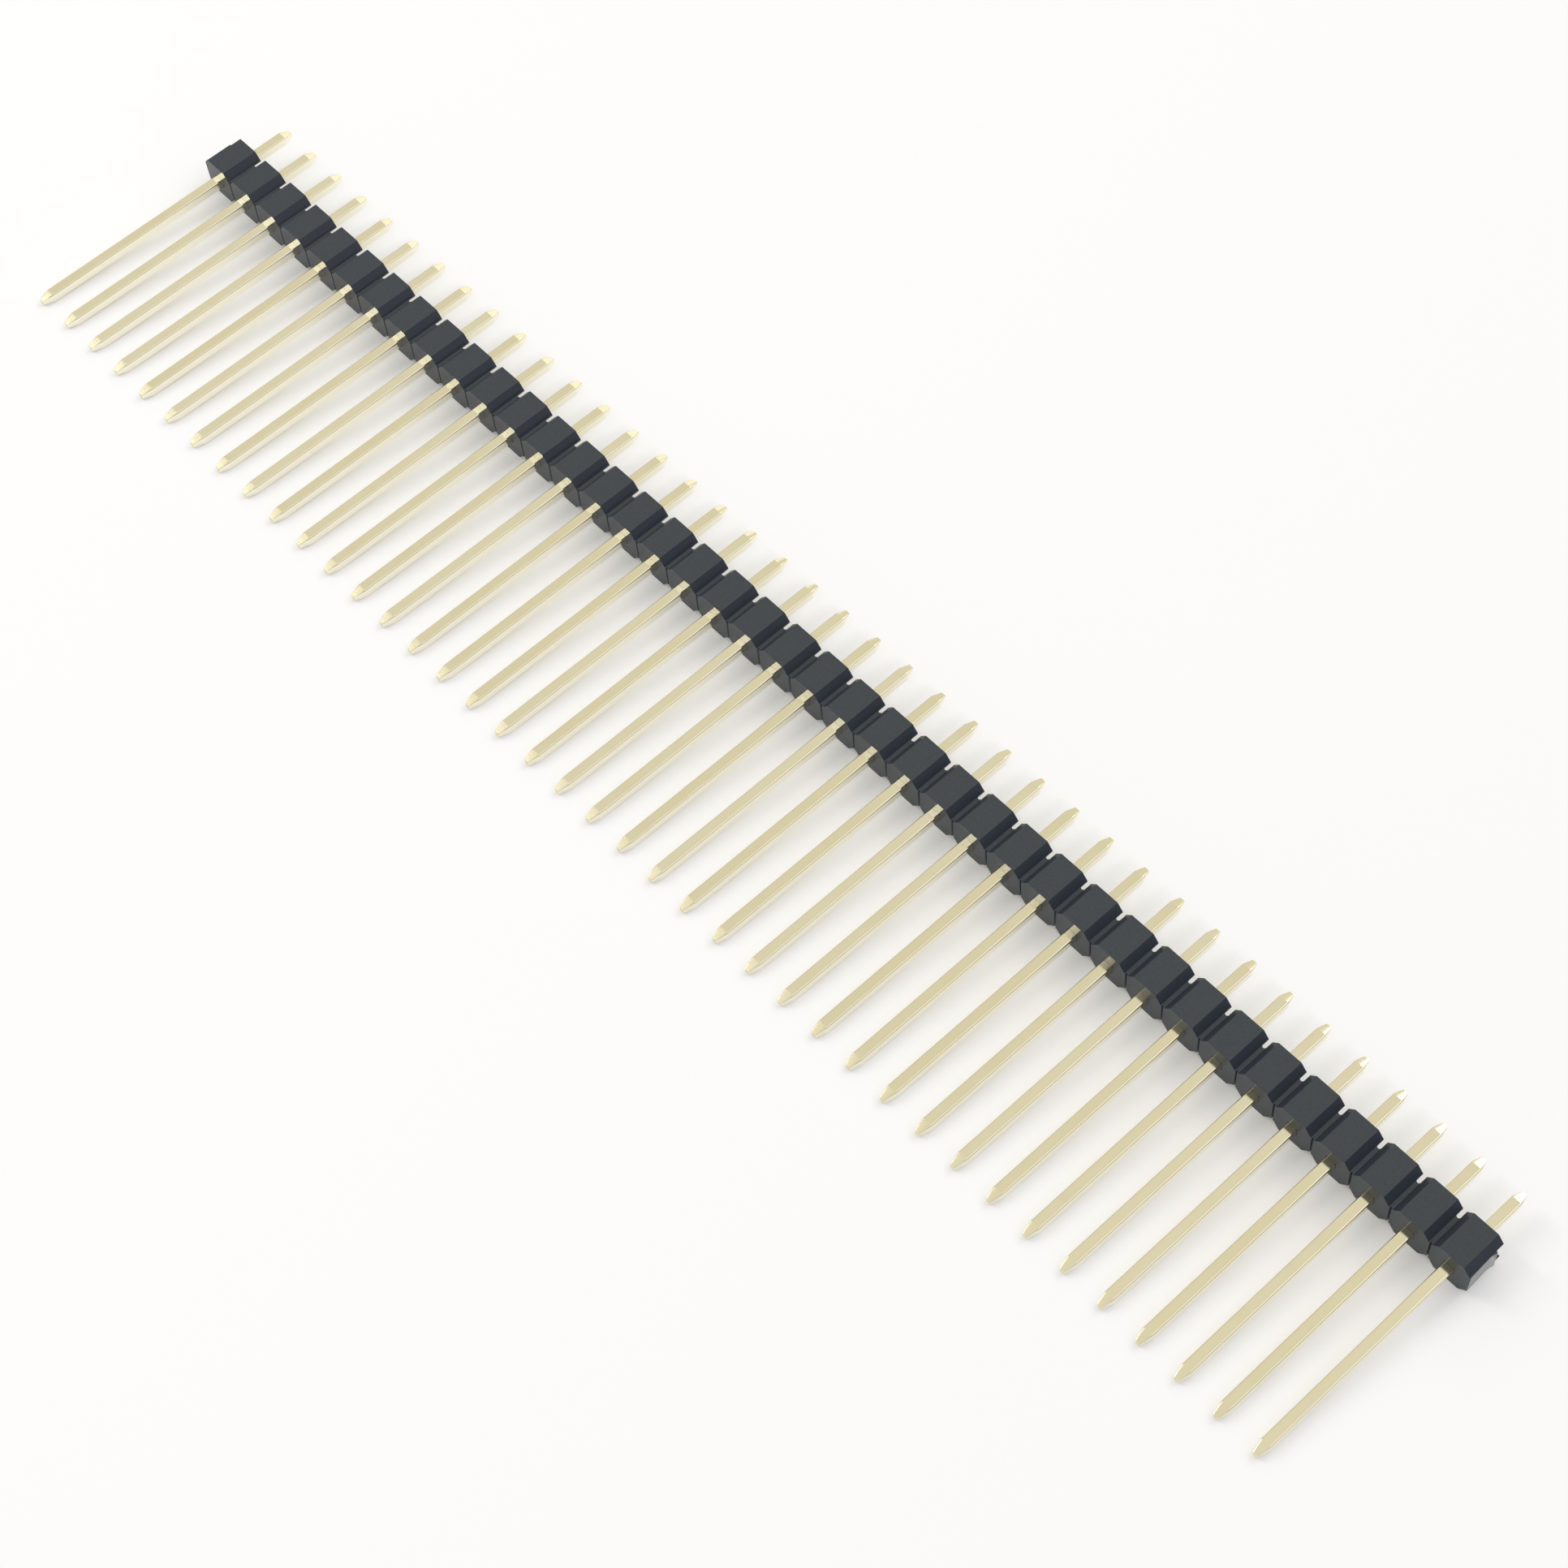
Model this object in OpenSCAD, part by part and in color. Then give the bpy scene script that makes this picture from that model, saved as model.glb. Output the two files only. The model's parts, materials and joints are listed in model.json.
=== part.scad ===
// Single-row pin header strip with extra-long square pins.
// X runs along the row, the mating ends of the pins point to -Y and the solder tails to +Y,
// and +Z is up. The strip lies as it comes to rest, on the lower front edge of its moulding
// and on the mating tips. The origin is at the floor, in the middle of its length and depth.
// All sizes are in millimetres.

/* [Row] */
// Number of pins
pin_count = 40; // [2:1:50]
// Distance from one pin to the next
pitch = 2.54; // [2.3:0.01:3]

/* [Pins] */
// Width across the flats of the square pin
pin_w = 0.64; // [0.4:0.01:0.8]
// Width of the small bevel along each corner of the pin, measured on the flat
pin_bevel = 0.06; // [0.02:0.01:0.12]
// Length of the mating end, from the front of the moulding to its tip
mating_length = 13.5; // [4:0.1:25]
// Length of the taper at the mating tip
mating_taper = 0.7; // [0.2:0.05:1]
// Width of the blunt mating tip
mating_tip_w = 0.3; // [0.15:0.01:0.39]
// Length of the solder tail, from the standoff feet to its tip
tail_length = 3.0; // [2:0.1:8]
// Length of the taper at the solder tip
tail_taper = 0.6; // [0.2:0.05:1.2]
// Width of the blunt solder tip
tail_tip_w = 0.3; // [0.15:0.01:0.39]

/* [Moulding] */
// Height of the moulding across its upper and lower flats
body_h = 2.54; // [2.2:0.01:3.5]
// Depth of the moulding along the pins, standoff feet included
body_d = 2.5; // [1.5:0.05:4]
// Width of the flat on top of each segment
flat_w = 1.52; // [1:0.02:1.8]
// Height of the sloping sides above and below the web
slope_h = 0.47; // [0.2:0.01:0.6]
// Width of the web between two segments, which is the floor of the groove
web_w = 0.24; // [0.15:0.01:0.4]
// Width of the snap notch in the front of each web
notch_w = 0.12; // [0.04:0.01:0.14]
// Depth of the snap notch
notch_depth = 0.12; // [0.04:0.01:0.3]

/* [Solder side] */
// Height of the channel between the upper and lower standoff feet
channel_h = 1.4; // [0.9:0.05:1.5]
// Depth of the channel, which is the length of the feet
channel_depth = 0.5; // [0.2:0.05:0.8]
// How much further than the channel the round-ended gap between two feet goes
gap_extra = 0.06; // [0:0.01:0.15]

/* [Snapped end] */
// How far the broken web at the right end lies back at its front edge
break_front = 0.03; // [0:0.01:0.07]
// How far it lies back just before the nub
break_depth = 0.09; // [0:0.01:0.1]
// Length of the nub that is left standing on the broken web
nub_length = 0.35; // [0.1:0.05:0.5]

/* [Fit] */
// Clearance between a pin and each wall of its bore
bore_clearance = 0.005; // [0:0.005:0.03]

/* [Hidden] */
row_length = pin_count * pitch;
body_end = body_d + tail_length;
segment_w = pitch - web_w;
web_h = body_h - 2 * slope_h;
gap_depth = channel_depth + gap_extra;
over = 1; // how far a cutter stands out past the face it cuts

// Lean at which the strip rests on its front edge and on the mating tips' shoulders
lean = atan((body_h - pin_w) / 2 / (mating_length - mating_taper));
front_reach = mating_length * cos(lean) + mating_tip_w / 2 * sin(lean);
back_reach = body_end * cos(lean) + tail_tip_w / 2 * sin(lean);
rest_y = (front_reach - back_reach) / 2;
rest_z = body_h / 2 * cos(lean);

insulator_color = [0.25, 0.26, 0.28];
pin_color = [0.87, 0.83, 0.69];

function pin_x(k) = (k - (pin_count + 1) / 2) * pitch;
function web_x(k) = pin_x(k) + pitch / 2;
function pin_name(k) = str("pin_", k < 10 ? "0" : "", k);

// The frame of the strip itself has its pins level on the Y axis and the front of the
// moulding at Y = 0. This turns it into the pose in which it rests.
module at_rest() {
    translate([0, rest_y, rest_z]) rotate([lean, 0, 0]) children();
}

// Runs a section drawn in X and Z along Y, from y0 to y1
module along_pins(y0, y1) {
    translate([0, y1, 0]) rotate([90, 0, 0]) linear_extrude(y1 - y0) children();
}

// Section across the pins: eight-sided segments joined by the webs
module strip_section() {
    upper = [for (k = [1 : pin_count]) each [
        [pin_x(k) - segment_w / 2, web_h / 2],
        [pin_x(k) - flat_w / 2, body_h / 2],
        [pin_x(k) + flat_w / 2, body_h / 2],
        [pin_x(k) + segment_w / 2, web_h / 2]
    ]];
    outline = concat([[-row_length / 2, web_h / 2]], upper, [[row_length / 2, web_h / 2]]);
    lower = [for (i = [len(outline) - 1 : -1 : 0]) [outline[i].x, -outline[i].y]];
    polygon(concat(outline, lower));
}

// Thin V in the front of a web, where the strip snaps
module snap_notch() {
    linear_extrude(body_h, center = true)
        polygon([[-notch_w, -notch_depth], [notch_w, -notch_depth], [0, notch_depth]]);
}

// Upright slot with a round inner end, which parts the feet of two neighbouring segments
module foot_gap() {
    inner_y = body_d - gap_depth + web_w / 2;
    translate([0, inner_y, 0]) cylinder(h = body_h, d = web_w, center = true, $fn = 48);
    translate([-web_w / 2, inner_y, -body_h / 2]) cube([web_w, gap_depth + over, body_h]);
}

// What broke away from the web at the right end, leaving a ragged face and a nub
module snapped_off() {
    nub_y = body_d - gap_depth;
    translate([row_length / 2, 0, 0]) linear_extrude(body_h, center = true) polygon([
        [over, -over],
        [-break_front, -over],
        [-break_front, 0],
        [-break_depth, nub_y - nub_length],
        [0, nub_y],
        [over, nub_y]
    ]);
}

module insulator() {
    bore_w = pin_w + 2 * bore_clearance;
    color(insulator_color) at_rest() difference() {
        along_pins(0, body_d) strip_section();
        for (k = [1 : pin_count]) translate([pin_x(k) - bore_w / 2, -over, -bore_w / 2])
            cube([bore_w, body_d + 2 * over, bore_w]);
        for (k = [0 : pin_count]) translate([web_x(k), 0, 0]) {
            snap_notch();
            foot_gap();
        }
        translate([-row_length / 2 - over, body_d - channel_depth, -channel_h / 2])
            cube([row_length + 2 * over, channel_depth + over, channel_h]);
        snapped_off();
    }
}

// Side of a pin with both tapers, drawn with the pin's length along X
module pin_side() {
    polygon([
        [-mating_length, -mating_tip_w / 2],
        [-mating_length + mating_taper, -pin_w / 2],
        [body_end - tail_taper, -pin_w / 2],
        [body_end, -tail_tip_w / 2],
        [body_end, tail_tip_w / 2],
        [body_end - tail_taper, pin_w / 2],
        [-mating_length + mating_taper, pin_w / 2],
        [-mating_length, mating_tip_w / 2]
    ]);
}

// Square wire section with its corners bevelled
module wire_section() {
    flat = pin_w / 2 - pin_bevel;
    edge = pin_w / 2;
    polygon([
        [edge, flat], [flat, edge], [-flat, edge], [-edge, flat],
        [-edge, -flat], [-flat, -edge], [flat, -edge], [edge, -flat]
    ]);
}

// One square pin, tapered on all four sides at both ends
module pin(k) {
    color(pin_color) at_rest() translate([pin_x(k), 0, 0]) intersection() {
        rotate([0, 0, 90]) linear_extrude(pin_w, center = true) pin_side();
        rotate([90, 0, 90]) linear_extrude(pin_w, center = true) pin_side();
        along_pins(-mating_length, body_end) wire_section();
    }
}

insulator();
for (k = [1 : pin_count]) {
    pin(k);
}
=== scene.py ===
"""A single-row pin header strip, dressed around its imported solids.

The strip lies on a pale table, leaning on the lower front edge of its moulding and on
the tips of its long pins. The moulding is finished first, then the pins that are pressed
into it, then the table, the lights and the camera.
"""

import json
import math

import bmesh
import bpy
from mathutils import Matrix, Vector


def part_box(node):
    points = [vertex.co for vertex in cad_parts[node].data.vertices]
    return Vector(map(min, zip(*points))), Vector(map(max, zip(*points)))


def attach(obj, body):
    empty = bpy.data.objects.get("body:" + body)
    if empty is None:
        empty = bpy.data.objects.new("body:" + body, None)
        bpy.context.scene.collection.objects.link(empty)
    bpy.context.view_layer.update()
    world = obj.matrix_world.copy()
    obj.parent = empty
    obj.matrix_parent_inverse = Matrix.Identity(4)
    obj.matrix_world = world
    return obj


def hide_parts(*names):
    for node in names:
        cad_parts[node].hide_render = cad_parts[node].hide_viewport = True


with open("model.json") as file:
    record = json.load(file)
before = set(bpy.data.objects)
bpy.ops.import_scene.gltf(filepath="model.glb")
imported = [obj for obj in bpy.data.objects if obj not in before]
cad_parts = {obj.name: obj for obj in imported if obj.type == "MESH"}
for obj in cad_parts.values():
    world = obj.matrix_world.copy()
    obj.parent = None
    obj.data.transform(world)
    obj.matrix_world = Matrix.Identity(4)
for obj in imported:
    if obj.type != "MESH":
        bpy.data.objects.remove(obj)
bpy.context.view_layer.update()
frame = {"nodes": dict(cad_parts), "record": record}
MM = 0.001

# ---------------------------------------------------------------- where the strip lies
# The strip is straight, so two interfaces fix it: the middle of the moulding's front,
# where the long pins leave it, and the middle of the plane of its standoff feet.

interfaces = {m["name"]: Vector(m["pos_m"]) for m in frame["record"]["mounts"]}
front_middle = interfaces["mating_pins"]
feet_middle = interfaces["solder_tails"]
moulding_depth = (feet_middle - front_middle).length
lean = math.atan2(feet_middle.z - front_middle.z, feet_middle.y - front_middle.y)
to_rest = Matrix.Translation(front_middle) @ Matrix.Rotation(lean, 4, "X")


# ---------------------------------------------------------------- the moulding
# One injection-moulded strip of black glass-filled polyester, whose upper and lower flats
# carry the grain of a spark-eroded mould and whose front and slopes came off polished
# steel. It is snapped from a longer strip, which leaves a torn stub at each end.

edge_radius = 0.045 * MM
edge_segments = 2
sharp_edge = math.radians(25)
shading_crease = math.radians(50)
flat_tolerance = math.radians(1)
weld_distance = 0.0005 * MM
row_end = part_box("insulator")[1].x
torn_skin = (0.012 * MM, 0.004 * MM)  # depths at which the torn look starts and is full
grains_per_metre = 8000.0
clouds_per_metre = 900.0
grain_height = 0.02 * MM
# The slopes, front and ends take a darker black than the grained flats: partly the polished
# skin's own deeper black, partly painted shade.
polished_black_and_painted_shade = (0.028, 0.035, 0.046)
grain_hollow = (0.034, 0.042, 0.048)
grain_peak = (0.066, 0.075, 0.081)
# The torn end faces are speckled pale grey: partly the torn plastic's own whitening, partly a
# painted reflection of the bright card seen at a grazing angle.
torn_grey_and_painted_reflection = (0.30, 0.30, 0.30)


class Value:
    """An output of a node, on which sums are written as in plain Python."""

    def __init__(self, nodes, socket):
        self.nodes = nodes
        self.socket = socket

    def beside(self, name):
        """Another output of the same node."""
        return Value(self.nodes, self.socket.node.outputs[name])

    def sum(self, operation, *values):
        return self.nodes.node("ShaderNodeMath", {"operation": operation}, values)

    def __add__(self, other):
        return self.sum("ADD", self, other)

    def __sub__(self, other):
        return self.sum("SUBTRACT", self, other)

    def __rsub__(self, other):
        return self.sum("SUBTRACT", other, self)

    def __mul__(self, other):
        return self.sum("MULTIPLY", self, other)

    def __abs__(self):
        return self.sum("ABSOLUTE", self)

    __radd__ = __add__
    __rmul__ = __mul__


class Nodes:
    """A tree of nodes that is being made, with one method for every node in it."""

    def __init__(self, tree):
        self.tree = tree
        self.tree.nodes.clear()

    @staticmethod
    def find(sockets, key):
        """A socket by its number or identifier, or by a name that it alone has."""
        identified = {s.identifier: s for s in sockets}
        return identified[key] if key in identified else sockets[key]

    def node(self, kind, settings=None, inputs=(), output=0):
        """Makes a node: first its settings, then what its sockets hold or are fed."""
        made = self.tree.nodes.new(kind)
        for name, value in (settings or {}).items():
            setattr(made, name, value)
        pairs = inputs.items() if isinstance(inputs, dict) else enumerate(inputs)
        for key, value in pairs:
            socket = self.find(made.inputs, key)
            if isinstance(value, Value):
                self.tree.links.new(value.socket, socket)
            else:
                socket.default_value = value
        return Value(self, self.find(made.outputs, output)) if made.outputs else made


class Finish(Nodes):
    """A material that is being made."""

    def __init__(self, name):
        self.material = bpy.data.materials.new(name)
        self.material.use_nodes = True
        super().__init__(self.material.node_tree)

    def noise(self, place, scale, detail=2.0, roughness=0.5):
        """Smooth noise from 0 to 1; scale is in grains per metre."""
        return self.node(
            "ShaderNodeTexNoise",
            {"noise_dimensions": "3D"},
            {"Vector": place, "Scale": scale, "Detail": detail, "Roughness": roughness},
        )

    def between(self, value, low, high):
        """0 where value is low or less, 1 where it is high or more, smooth between."""
        return self.node(
            "ShaderNodeMapRange",
            {"interpolation_type": "SMOOTHSTEP"},
            {"Value": value, "From Min": low, "From Max": high},
        )

    def mix_colors(self, share, first, second):
        """The first colour where share is 0, and the second where it is 1."""
        first, second = (c if isinstance(c, Value) else (*c, 1.0) for c in (first, second))
        return self.node(
            "ShaderNodeMix",
            {"data_type": "RGBA"},
            {"Factor_Float": share, "A_Color": first, "B_Color": second},
            "Result_Color",
        )

    def split(self, vector):
        """The three parts of a vector."""
        x = self.node("ShaderNodeSeparateXYZ", inputs={"Vector": vector}, output="X")
        return x, x.beside("Y"), x.beside("Z")

    def strip_place(self):
        """Places in the strip's own frame: x along the row, y along the pins, z across."""
        inverse = to_rest.inverted()
        return self.node(
            "ShaderNodeMapping",
            {"vector_type": "POINT"},
            {
                "Vector": self.node("ShaderNodeTexCoord", output="Object"),
                "Location": inverse.translation,
                "Rotation": inverse.to_euler(),
            },
        )

    def strip_facing(self):
        """The way the surface faces, in the strip's own frame, as three values."""
        normal = self.node("ShaderNodeNewGeometry", output="Normal")
        turned = self.node(
            "ShaderNodeMapping",
            {"vector_type": "NORMAL"},
            {"Vector": normal, "Rotation": (-lean, 0.0, 0.0)},
        )
        return self.split(turned)

    def surface(self, **sockets):
        """Ends the material with one Principled BSDF."""
        shader = self.node(
            "ShaderNodeBsdfPrincipled",
            inputs={name.replace("_", " "): value for name, value in sockets.items()},
        )
        self.node("ShaderNodeOutputMaterial", inputs={"Surface": shader})
        return self.material


def black_moulding():
    """Fine speckled grain on the flats, and a smooth gloss and a darker black on the other
    sides, the darker black partly painted shade.
    """
    finish = Finish("black_glass_filled_polyester")
    place = finish.strip_place()
    square_on = (0.85, 0.97)  # cosines between which a slope becomes a flat
    ends, front, grained_and_painted_lit_flats = (finish.between(abs(f), *square_on) for f in finish.strip_facing())
    grain = finish.noise(place, grains_per_metre, detail=4.0, roughness=0.65)
    clouds = finish.noise(place, clouds_per_metre, detail=3.0)
    speckled = finish.mix_colors(grain, grain_hollow, grain_peak)
    # Darker black on the slopes, front and ends than on the flats, partly painted shade
    grain_and_painted_side_shade = finish.mix_colors(grained_and_painted_lit_flats, polished_black_and_painted_shade, speckled)
    along_row = finish.split(place)[0]
    torn = finish.between(abs(along_row), *(row_end - skin for skin in torn_skin))
    # Pale grey speckle on the torn end faces, partly a painted reflection of the card
    color = finish.mix_colors(torn * grain, grain_and_painted_side_shade, torn_grey_and_painted_reflection)
    roughness = 0.58 + 0.06 * grained_and_painted_lit_flats + 0.06 * (clouds - 0.5)
    # The grain breaks up most of the skin's gloss, and the smooth ends keep all of it
    gloss = 0.34 - 0.24 * grained_and_painted_lit_flats + 0.18 * front + 0.60 * ends
    height = grain * (0.15 + 0.85 * grained_and_painted_lit_flats + 2.0 * torn)
    bump = finish.node(
        "ShaderNodeBump",
        inputs={"Strength": 0.35, "Distance": grain_height, "Height": height},
    )
    return finish.surface(
        Base_Color=color, Roughness=roughness, Specular_IOR_Level=0.25, Normal=bump,
        Coat_Weight=gloss, Coat_Roughness=0.06, Coat_IOR=1.5,
    )


def rounded_moulding():
    """The solid's own shape with the mould's radius along each outer edge."""
    mesh = frame["nodes"]["insulator"].data.copy()
    shell = bmesh.new()
    shell.from_mesh(mesh)
    bmesh.ops.remove_doubles(shell, verts=shell.verts, dist=weld_distance)
    bmesh.ops.dissolve_limit(
        shell, angle_limit=flat_tolerance, verts=shell.verts, edges=shell.edges
    )
    sharp = [e for e in shell.edges if e.calc_face_angle(0) > sharp_edge]
    bmesh.ops.bevel(
        shell, geom=sharp, offset=edge_radius, segments=edge_segments, profile=0.5,
        affect="EDGES", clamp_overlap=True, harden_normals=False,
    )
    for face in shell.faces:
        face.smooth = True
    shell.to_mesh(mesh)
    shell.free()
    mesh.set_sharp_from_angle(angle=shading_crease)
    return mesh


def finished_mesh(piece):
    """The piece's mesh with its modifiers applied, and its flats shaded flat."""
    flats = piece.modifiers.new("flats", "WEIGHTED_NORMAL")
    flats.keep_sharp = True
    flats.weight = 100
    scene_now = bpy.context.evaluated_depsgraph_get()
    mesh = bpy.data.meshes.new_from_object(piece.evaluated_get(scene_now), depsgraph=scene_now)
    piece.modifiers.clear()
    return mesh


moulding = bpy.data.objects.new("moulding", rounded_moulding())
bpy.context.scene.collection.objects.link(moulding)
moulding.data = finished_mesh(moulding)
moulding.data.materials.clear()
moulding.data.materials.append(black_moulding())
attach(moulding, "root")
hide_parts("insulator")


# ---------------------------------------------------------------- the pins
# Forty lengths of square brass wire with rolled round corners, cut and coined to a
# four-sided point at both ends, plated with nickel and a thin flash of gold, and
# pressed through the moulding.

pin_names = sorted(n for n in frame["nodes"] if n.startswith("pin_"))
first_low, first_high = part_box(pin_names[0])
last_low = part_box(pin_names[-1])[0]
pin_width = first_high.x - first_low.x
pin_pitch = (last_low.x - first_low.x) / (len(pin_names) - 1)
first_pin_x = (first_low.x + first_high.x) / 2
mating_length = 13.5 * MM
mating_taper = 0.700 * MM
tail_length = 3.0 * MM
tail_taper = 0.600 * MM
tip_chamfer = 0.020 * MM
corner_radius = 0.100 * MM
corner_steps = 10
corner_crease = math.radians(10.5)
mating_tip = -mating_length
tail_tip = moulding_depth + tail_length
# Each station along a pin: its place from the front of the moulding, half the width
# there and the radius of the corners
pin_stations = [
    (mating_tip, 0.130 * MM, 0.025 * MM),
    (mating_tip + tip_chamfer, 0.155 * MM, 0.030 * MM),
    (mating_tip + mating_taper / 2, 0.236 * MM, 0.050 * MM),
    (mating_tip + mating_taper, pin_width / 2, corner_radius),
    (tail_tip - tail_taper, pin_width / 2, corner_radius),
    (tail_tip - tail_taper / 2, 0.236 * MM, 0.050 * MM),
    (tail_tip - tip_chamfer, 0.155 * MM, 0.030 * MM),
    (tail_tip, 0.132 * MM, 0.025 * MM),
]
plating_seed = 7
thin_gold = (0.855, 0.785, 0.545)
thick_gold = (0.825, 0.75, 0.49)
# A paler gold painted on the pins' side faces, standing in for their whiter reflection at a
# grazing angle
painted_sheen_side_gold = (0.96, 0.915, 0.76)
gold_clouds_per_metre = 700.0
drawing_lines_per_metre = 30000.0
drawing_stretch = 0.02  # the lines run fifty times as far along the wire as across it
drawing_depth = 0.002 * MM


def pin_mesh():
    """One pin along Y: rings of a round-cornered square, joined station by station."""
    mesh = bpy.data.meshes.new("pin")
    pin = bmesh.new()
    rings = []
    for y, half, radius in pin_stations:
        ring = []
        for corner in range(4):
            middle = math.radians(45 + 90 * corner)
            cx = math.copysign(half - radius, math.cos(middle))
            cz = math.copysign(half - radius, math.sin(middle))
            for step in range(corner_steps + 1):
                turn = math.radians(90 * (corner + step / corner_steps))
                ring.append(pin.verts.new(
                    (cx + radius * math.cos(turn), y, cz + radius * math.sin(turn))
                ))
        rings.append(ring)
    count = len(rings[0])
    for near, far in zip(rings, rings[1:]):
        for i in range(count):
            j = (i + 1) % count
            pin.faces.new((near[i], far[i], far[j], near[j]))
    pin.faces.new(rings[0])
    pin.faces.new(reversed(rings[-1]))
    bmesh.ops.recalc_face_normals(pin, faces=pin.faces)
    for face in pin.faces:
        face.smooth = True
    pin.to_mesh(mesh)
    pin.free()
    mesh.set_sharp_from_angle(angle=corner_crease)
    return mesh


def gold_flash():
    """Bright plating that varies a little from pin to pin, with fine lines along the wire and a
    paler gold painted on the side faces as their grazing reflection.
    """
    finish = Finish("gold_flash_on_nickel")
    place = finish.strip_place()
    drawn = finish.node(
        "ShaderNodeMapping", inputs={"Vector": place, "Scale": (1.0, drawing_stretch, 1.0)}
    )
    lines = finish.noise(drawn, drawing_lines_per_metre)
    cloud = finish.noise(place, gold_clouds_per_metre, detail=3.0)
    shade = finish.node(
        "ShaderNodeAttribute",
        {"attribute_name": "plating", "attribute_type": "GEOMETRY"},
        output="Fac",
    )
    share = finish.between(cloud * 0.6 + shade * 0.4, 0.25, 0.75)
    rolled = finish.mix_colors(share, thin_gold, thick_gold)
    # The side faces get the paler gold as a painted grazing reflection
    grazing_sheen = finish.between(abs(finish.strip_facing()[0]), 0.80, 0.97)
    color = finish.mix_colors(grazing_sheen, rolled, painted_sheen_side_gold)
    roughness = 0.08 + 0.04 * lines + 0.04 * cloud
    bump = finish.node(
        "ShaderNodeBump", inputs={"Strength": 0.06, "Distance": drawing_depth, "Height": lines}
    )
    return finish.surface(Base_Color=color, Metallic=1.0, Roughness=roughness, Normal=bump)


def row_of_pins(material):
    """The tree that repeats one pin along the row and lays the row down at its lean."""
    row = Nodes(bpy.data.node_groups.new("row_of_pins", "GeometryNodeTree"))
    add = row.tree.interface.new_socket
    add("Pin", in_out="INPUT", socket_type="NodeSocketGeometry")
    named = {
        "Count": ("NodeSocketInt", len(pin_names)),
        "Pitch": ("NodeSocketFloat", pin_pitch),
        "First pin": ("NodeSocketFloat", first_pin_x),
        "Lean": ("NodeSocketFloat", lean),
        "Front": ("NodeSocketVector", front_middle),
        "Finish": ("NodeSocketMaterial", material),
    }
    values = {}
    for name, (kind, value) in named.items():
        values[add(name, in_out="INPUT", socket_type=kind).identifier] = value
    add("Row", in_out="OUTPUT", socket_type="NodeSocketGeometry")
    pin = row.node("NodeGroupInput", output="Pin")
    start, step, turn = (
        row.node("ShaderNodeCombineXYZ", inputs={"X": pin.beside(name)})
        for name in ("First pin", "Pitch", "Lean")
    )
    line = row.node(
        "GeometryNodeMeshLine",
        inputs={"Count": pin.beside("Count"), "Start Location": start, "Offset": step},
    )
    shade = row.node(
        "FunctionNodeRandomValue", {"data_type": "FLOAT"}, {"Seed": plating_seed}, "Value_001"
    )
    shaded = row.node(
        "GeometryNodeStoreNamedAttribute",
        {"data_type": "FLOAT", "domain": "POINT"},
        {"Geometry": line, "Name": "plating", "Value": shade},
    )
    placed = row.node("GeometryNodeInstanceOnPoints", inputs={"Points": shaded, "Instance": pin})
    whole = row.node("GeometryNodeRealizeInstances", inputs={"Geometry": placed})
    laid = row.node(
        "GeometryNodeTransform",
        inputs={"Geometry": whole, "Rotation": turn, "Translation": pin.beside("Front")},
    )
    plated = row.node(
        "GeometryNodeSetMaterial", inputs={"Geometry": laid, "Material": pin.beside("Finish")}
    )
    row.node("NodeGroupOutput", inputs={"Row": plated})
    return row.tree, values


pins = bpy.data.objects.new("pins", pin_mesh())
bpy.context.scene.collection.objects.link(pins)
row_tree, row_values = row_of_pins(gold_flash())
row_maker = pins.modifiers.new("row_of_pins", "NODES")
row_maker.node_group = row_tree
for identifier, value in row_values.items():
    row_maker[identifier] = value
pins.data = finished_mesh(pins)
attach(pins, "root")
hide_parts(*pin_names)


# ---------------------------------------------------------------- the table
# A plain sheet of white card that the strip lies on, far larger than the strip, so that
# it runs on past every side of a view.

table_size = 4.0
card_dark = (0.77, 0.765, 0.755)
card_light = (0.78, 0.775, 0.765)
card_glow = (0.247, 0.244, 0.229)
card_clouds_per_metre = 6.0


def white_card():
    """White card, with a glow that the eye and metal see but that lights nothing."""
    finish = Finish("white_card")
    place = finish.node("ShaderNodeTexCoord", output="Object")
    cloud = finish.noise(place, card_clouds_per_metre)
    color = finish.mix_colors(cloud, card_dark, card_light)
    eye = finish.node("ShaderNodeLightPath", output="Is Camera Ray")
    seen = eye + eye.beside("Is Glossy Ray") + eye.beside("Is Transmission Ray")
    glow = finish.mix_colors(seen.sum("MINIMUM", seen, 1.0), (0.0, 0.0, 0.0), card_glow)
    return finish.surface(
        Base_Color=color, Roughness=0.9, Specular_IOR_Level=0.0,
        Emission_Color=glow, Emission_Strength=1.0,
    )


bpy.ops.mesh.primitive_plane_add(size=table_size)
table = bpy.context.object
table.name = "table"
table.data.materials.append(white_card())


# ---------------------------------------------------------------- the light
# A tent of white cloth, brightest high behind the strip and dim at the front, with a
# narrow bright window over the strip's far end and three weaker boxes: one behind the
# strip, one above it and one in the far corner.


class Tent(Finish):
    """The world's shader, made with the same words as a material."""

    def __init__(self, name):
        self.world = bpy.data.worlds.new(name)
        self.world.use_nodes = True
        Nodes.__init__(self, self.world.node_tree)


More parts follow.
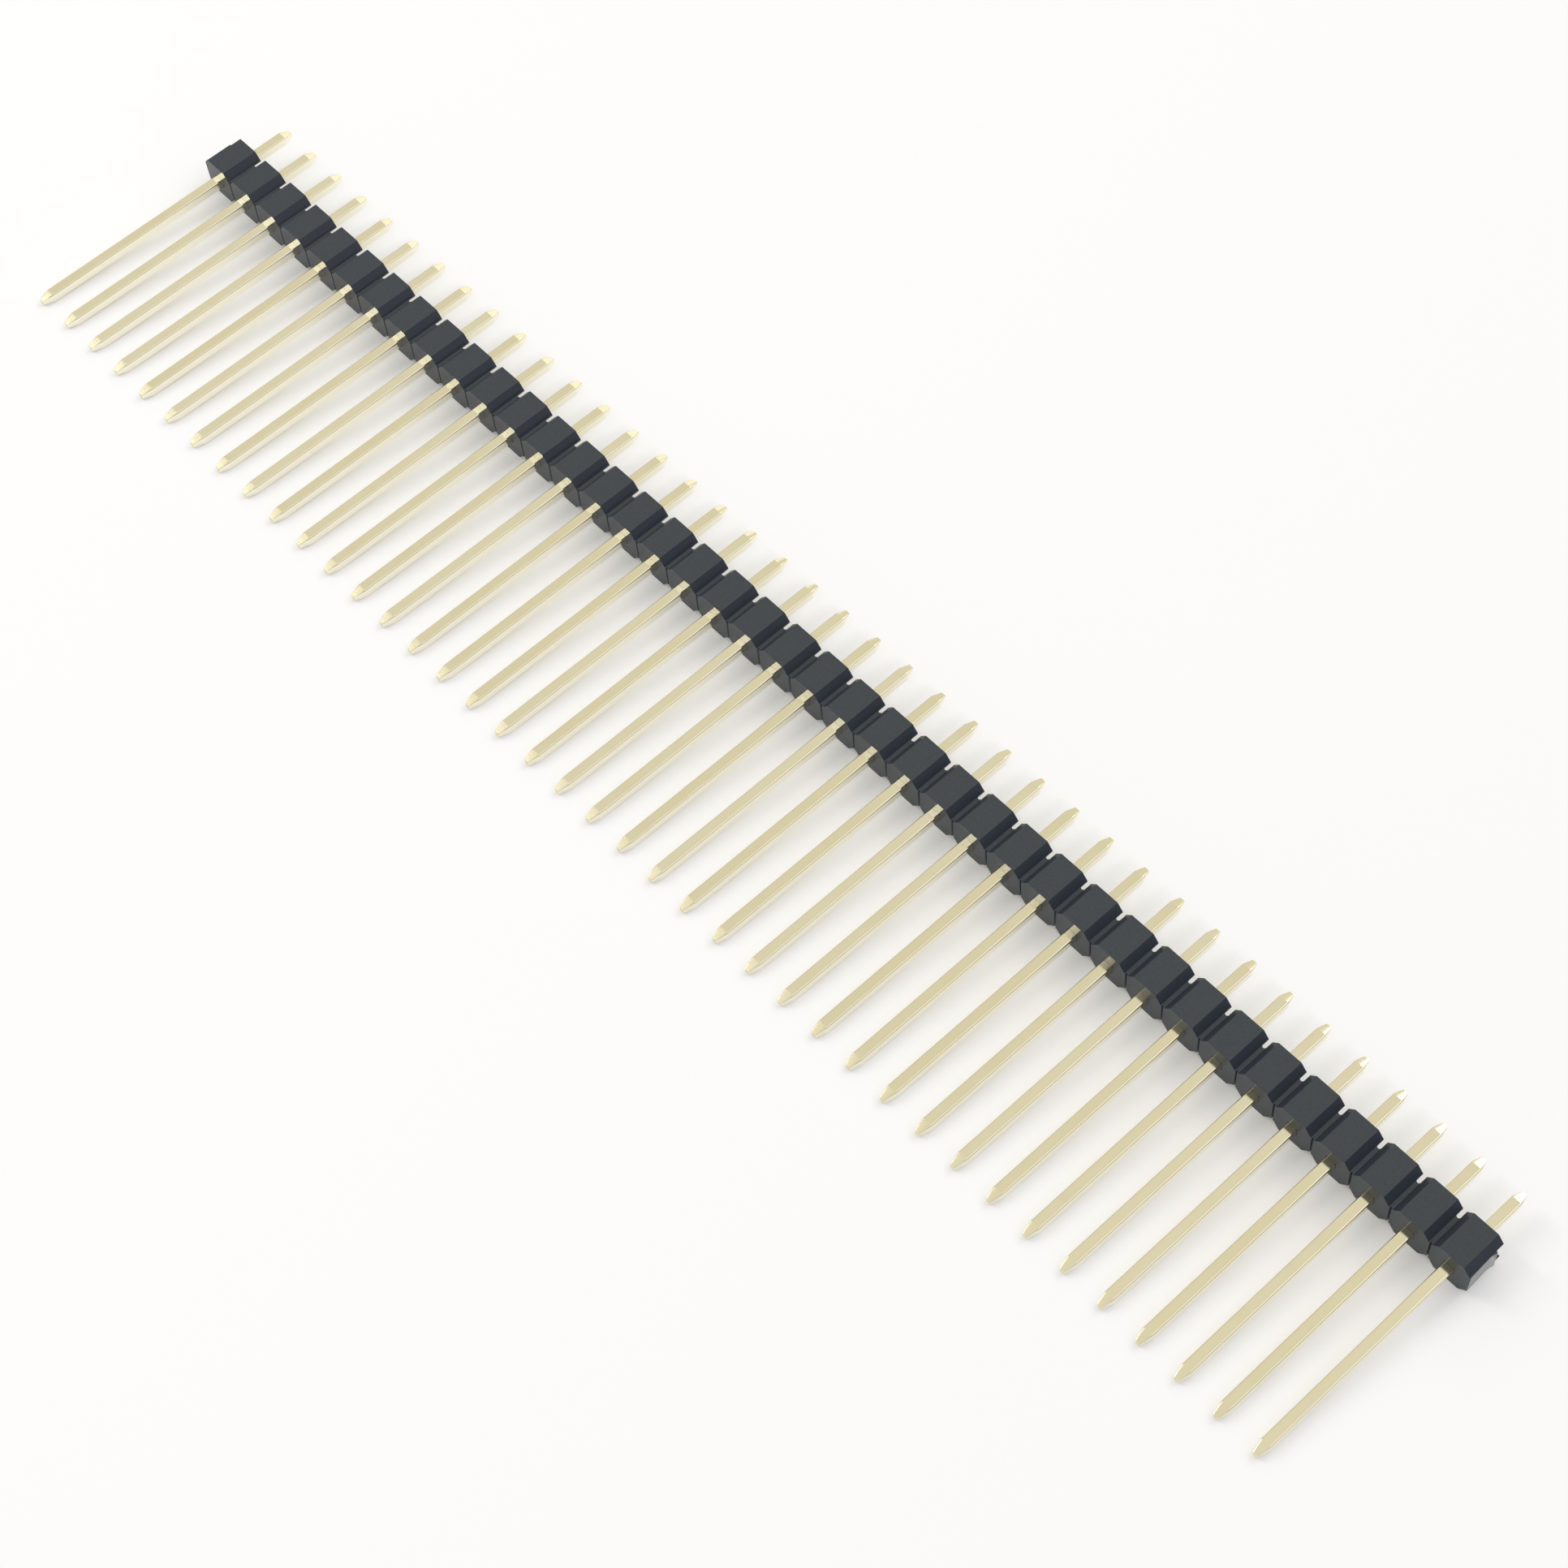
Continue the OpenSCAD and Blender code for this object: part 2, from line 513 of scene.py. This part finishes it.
def white_tent():
    """The cloth's brightness by direction, where 1 is a white card in full light."""
    tent = Tent("tent")
    direction = tent.node("ShaderNodeTexCoord", output="Generated")
    across, back, height = tent.split(direction)
    behind = tent.between(back, -0.60, -0.25)
    right = tent.between(across, -0.1, 0.3)
    # Low down and high up alike, the cloth is dim in front and brighter at the sides
    low_sides = tent.mix_colors(right, (0.59, 0.56, 0.46), (0.48, 0.49, 0.525))
    low = tent.mix_colors(behind, (0.43, 0.47, 0.52), low_sides)
    high_sides = tent.mix_colors(right, (0.81, 0.80, 0.78), (0.87, 0.89, 1.02))
    high = tent.mix_colors(behind, (0.35, 0.35, 0.35), high_sides)
    # A brighter panel hangs high behind the strip, under a roof that closes the tent
    panel_foot = tent.between(height, 0.62, 0.75)
    panel_head = tent.between(height, 0.87, 0.95)
    panel_side = tent.between(back + 0.5 * across, 0.3, 0.7)
    panel = panel_foot * (1.0 - panel_head) * panel_side
    lit = tent.mix_colors(panel, high, (1.76, 1.73, 1.68))
    sides = tent.mix_colors(tent.between(height, 0.30, 0.50), low, lit)
    roofed = tent.mix_colors(tent.between(height, 0.90, 0.99), sides, (0.86, 0.84, 0.80))
    # The tent's foot is dark, and reaches higher on the right
    above_foot = tent.between(height - 0.25 * across, -0.20, 0.30)
    light = tent.mix_colors(above_foot, (0.19, 0.20, 0.27), roofed)
    eye = tent.node("ShaderNodeLightPath", output="Is Camera Ray")
    shown = tent.mix_colors(eye, light, (0.93, 0.93, 0.925))
    background = tent.node("ShaderNodeBackground", inputs={"Color": shown, "Strength": 1.0})
    tent.node("ShaderNodeOutputWorld", inputs={"Surface": background})
    return tent.world


def soft_box(name, place, along, length, width, radiance):
    """A rectangular lamp that faces the strip, its length laid along the given way.

    Its radiance is 1 where it is as bright as a white card in full light.
    """
    lamp = bpy.data.lights.new(name, "AREA")
    lamp.shape = "RECTANGLE"
    lamp.size = length
    lamp.size_y = width
    lamp.energy = radiance * math.pi * length * width
    made = bpy.data.objects.new(name, lamp)
    bpy.context.scene.collection.objects.link(made)
    place = Vector(place)
    away = place.normalized()
    across = away.cross(Vector(along)).normalized()
    axes = Matrix((across.cross(away), across, away)).transposed()
    made.matrix_world = Matrix.Translation(place) @ axes.to_4x4()


bpy.context.scene.world = white_tent()
soft_box("back_box", (0.030, 0.370, 0.335), (1.0, 0.0, 0.0), 0.20, 0.10, 2.5)
soft_box("window", (-0.270, -0.176, 0.390), (-0.219, 0.058, -0.128), 0.30, 0.060, 8.5)
soft_box("top_box", (-0.263, -0.022, 0.424), (-0.214, 0.000, -0.087), 0.28, 0.09, 0.50)
soft_box("corner_box", (-0.320, 0.337, 0.228), (-0.098, -0.035, -0.025), 0.18, 0.14, 0.42)


# ---------------------------------------------------------------- the camera
# It looks down on the strip from the near end, so that the row runs corner to corner.
# Its turn is from straight in front and its height is above the table, in degrees.

camera_turn = math.radians(48.26)
camera_height = math.radians(55.84)
camera_roll = math.radians(-0.69)
camera_distance = 165.56 * MM
camera_target = Vector((6.48, -0.05, 0.0)) * MM
camera_lens = 70.66
camera_sensor = 36.0
camera_near_limit = 1 * MM

lens = bpy.data.cameras.new("camera")
lens.lens = camera_lens
lens.sensor_width = camera_sensor
lens.clip_start = camera_near_limit
camera = bpy.data.objects.new("camera", lens)
bpy.context.scene.collection.objects.link(camera)
towards_camera = Vector((
    math.sin(camera_turn) * math.cos(camera_height),
    -math.cos(camera_turn) * math.cos(camera_height),
    math.sin(camera_height),
))
camera.location = camera_target + camera_distance * towards_camera
aim = towards_camera.to_track_quat("Z", "Y").to_matrix().to_4x4()
camera.rotation_euler = (aim @ Matrix.Rotation(camera_roll, 4, "Z")).to_euler()
bpy.context.scene.camera = camera

bpy.context.scene.view_settings.view_transform = "Standard"
